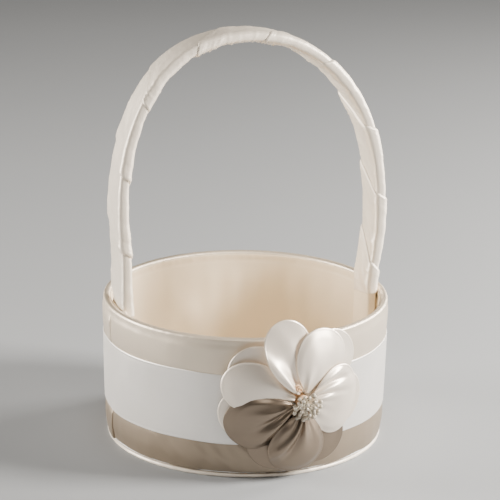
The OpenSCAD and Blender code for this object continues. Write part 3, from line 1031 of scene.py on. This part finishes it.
def flower_backing():
    """A felt disc with a soft cut edge, curved to the ribbon."""
    rings = np.concatenate([[0.03], np.linspace(0.08, 1, 22)])
    angle = np.arange(120) * 2 * math.pi / 120
    angle, ring = np.meshgrid(angle, rings, indexing="ij")
    cut = BACKING_R + 0.25 * soft_noise(stack(12 * np.cos(angle), 12 * np.sin(angle)), 5, 81)
    x, z = cut * ring * np.cos(angle), cut * ring * np.sin(angle)
    turn = math.radians(FLOWER_TURN - 90)
    fuzz = 0.06 * soft_noise(stack(x, z), 1.6, 82)
    r = FLOWER_R - 0.05 - 0.5 * smooth(ring, 0.93, 1) + fuzz
    around = turn + x / FLOWER_R
    points = stack(r * np.cos(around), r * np.sin(around), z + FLOWER_Z)
    cloth = stack(x, z)
    cloth = np.concatenate([cloth, cloth[:1]])
    piece = grid_piece(
        "flower_backing_felt", points, cloth, "felt", wrap_rows=True, flip=True, thickness=FELT_T
    )
    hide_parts("flower_backing")


STAMENS = 36
STAMEN_SOURCE = 7.8
STAMEN_SPREAD = 60.0
STAMEN_DROOP = 13.0
STAMEN_LEN = 9.3
GOLDEN_ANGLE = 137.508
HEAD_R = 1.1
TIE_TOP = 9.7
TIE_TURNS = 13
TIE_WIRE = 0.36


def flower_tie():
    """Thread wound round the petals' roots, with its knot above the stamens."""
    u = np.linspace(0, 1, TIE_TURNS * 26)
    angle = u * TIE_TURNS * 2 * math.pi
    out = 0.6 + u * (TIE_TOP - 1.0)
    r = 3.0 + 0.15 * np.sin(angle * 0.37)
    parts = [tube(on_bowl(r * np.cos(angle), out, r * np.sin(angle), curved=False), TIE_WIRE)]
    u = np.linspace(0, 1, 60)
    for k, (size, shift) in enumerate([(1.5, 0.0), (1.25, 0.7), (1.0, 1.3)]):
        angle = u * 2 * math.pi * 2.5 + k
        x = -4.6 + size * np.cos(angle) + shift
        z = 9.2 + size * 0.8 * np.sin(angle) - shift
        parts.append(tube(on_bowl(x, 9.8 + 0.8 * u + 0.3 * k, z, curved=False), TIE_WIRE))
    points, faces = joined(parts)
    piece = mesh_piece("flower_tie_thread", points, faces, "tie_thread")
    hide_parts("flower_tie")


def stamen_lines():
    """Each stamen's direction, as right, outward and up, its head's distance and the random numbers."""
    rng = np.random.RandomState(7)
    droop = math.radians(STAMEN_DROOP)
    for i in range(STAMENS):
        tilt = math.radians(STAMEN_SPREAD * math.sqrt((i + 0.5) / STAMENS))
        turn = math.radians(i * GOLDEN_ANGLE)
        right, out, up = math.sin(tilt) * math.cos(turn), math.cos(tilt), math.sin(tilt) * math.sin(turn)
        direction = np.array([
            right,
            out * math.cos(droop) + up * math.sin(droop),
            up * math.cos(droop) - out * math.sin(droop),
        ])
        direction += rng.normal(size=3) * (0.06, 0.02, 0.06)
        distance = STAMEN_LEN - 0.5 * (1 + math.sin(math.radians(i * 97)))
        yield direction / np.linalg.norm(direction), distance, rng


def stamen_pieces():
    stems, heads = [], []
    source = np.array([0, STAMEN_SOURCE, 0])
    for direction, distance, rng in stamen_lines():
        bend = rng.normal(size=3) * 0.35
        u = np.linspace(0, 1, 9)[:, None]
        path = source + direction * (1.4 + (distance - 1.6) * u) + bend * np.sin(math.pi * u)
        stems.append(tube(on_bowl(*path.T, curved=False), 0.26 + 0.05 * u[:, 0]))
        heads.append(bead(source + direction * distance, direction, rng))
    points, faces = joined(stems)
    piece = mesh_piece("stamen_stem_threads", points, faces, "stamen_thread")
    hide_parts("stamen_stems")
    points, faces = joined(heads)
    piece = mesh_piece("stamen_head_pearls", points, faces, "stamen_pearl")
    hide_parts("stamen_heads")


def bead(middle, direction, rng):
    """A dipped stamen head: a drop, longer than it is wide, with a blunt tip."""
    long = HEAD_R * rng.uniform(1.05, 1.25)
    wide = HEAD_R * rng.uniform(0.86, 0.98)
    lean = direction + rng.normal(size=3) * 0.22
    lean /= np.linalg.norm(lean)
    helper = np.array([0.1, 0.2, 0.97])
    first = np.cross(lean, helper)
    first /= np.linalg.norm(first)
    second = np.cross(lean, first)
    rows, columns = 11, 14
    points = []
    for i in range(rows):
        polar = math.pi * (i + 0.4) / (rows - 0.2)
        radius = wide * math.sin(polar) * (1 + 0.10 * math.cos(polar))
        for j in range(columns):
            a = 2 * math.pi * j / columns
            uneven = 1 + 0.05 * math.sin(3 * a + 5 * polar)
            around = (first * math.cos(a) + second * math.sin(a)) * radius * uneven
            points.append(middle + lean * long * math.cos(polar) + around)
    return on_bowl(*np.array(points).T, curved=False), ring_faces(rows, columns)


# ---- Stage ----

def area_light(name, place, target, size, power, colour):
    data = bpy.data.lights.new(name, "AREA")
    data.shape = "RECTANGLE"
    data.size, data.size_y = size
    data.energy = power
    data.color = colour
    light = bpy.data.objects.new(name, data)
    bpy.context.collection.objects.link(light)
    light.location = place
    light.rotation_mode = "QUATERNION"
    light.rotation_quaternion = (Vector(target) - Vector(place)).to_track_quat("-Z", "Y")


WORLD_STRENGTH = 0.02
WORLD_COLOUR = (1.0, 0.95, 0.9, 1)
WARM = (1.0, 0.93, 0.84)
# The stage's lengths are in metres
SOFTBOX_RAISED = 0.05
SOFTBOX_AIM_Z = 0.08
FLOOR_REACH = 8
FLOOR_COLOURS = ((0.33, 0.35, 0.375), (0.345, 0.365, 0.39))


def softbox(name, azimuth, elevation, distance, size, power):
    """A softbox that looks at the bowl. Azimuth is to the right of the front.

    distance and size are in metres, and power is in watts.
    """
    a, e = math.radians(azimuth), math.radians(elevation)
    place = (
        distance * math.sin(a) * math.cos(e),
        -distance * math.cos(a) * math.cos(e),
        distance * math.sin(e) + SOFTBOX_RAISED,
    )
    area_light(name, place, (0, 0, SOFTBOX_AIM_Z), size, power, WARM)


def stage():
    """A plain pale floor, 16 m square, with four softboxes and a faint fill from the world."""
    mesh = bpy.data.meshes.new("floor")
    corners = [(x * FLOOR_REACH, y * FLOOR_REACH, 0) for x, y in ((-1, -1), (1, -1), (1, 1), (-1, 1))]
    mesh.from_pydata(corners, [], [(0, 1, 2, 3)])
    floor = bpy.data.objects.new("floor", mesh)
    bpy.context.collection.objects.link(floor)
    mesh.materials.append(mottled("floor", *FLOOR_COLOURS, 3, 0.8, 0.1))
    world = bpy.data.worlds.new("studio")
    world.use_nodes = True
    background = world.node_tree.nodes["Background"]
    background.inputs["Color"].default_value = WORLD_COLOUR
    background.inputs["Strength"].default_value = WORLD_STRENGTH
    bpy.context.scene.world = world
    softbox("right_softbox", 63, 28, 1.0, (0.25, 0.3), 30)
    softbox("left_softbox", -108, 12, 1.1, (0.4, 0.6), 25)
    softbox("rim_softbox", 105, 20, 1.1, (0.3, 0.5), 18)
    softbox("front_fill", -10, 40, 1.4, (0.6, 0.6), 4)


finish_kept_nodes()
base_disc()
outer_cover()
cover_lap()
wall_lining()
floor_lining()
ribbon_band()
handle_wrap()
tail_cover(-1, "left_tail_cover")
tail_cover(1, "right_tail_cover")
flower_backing()
petals()
flower_tie()
stamen_pieces()
stage()
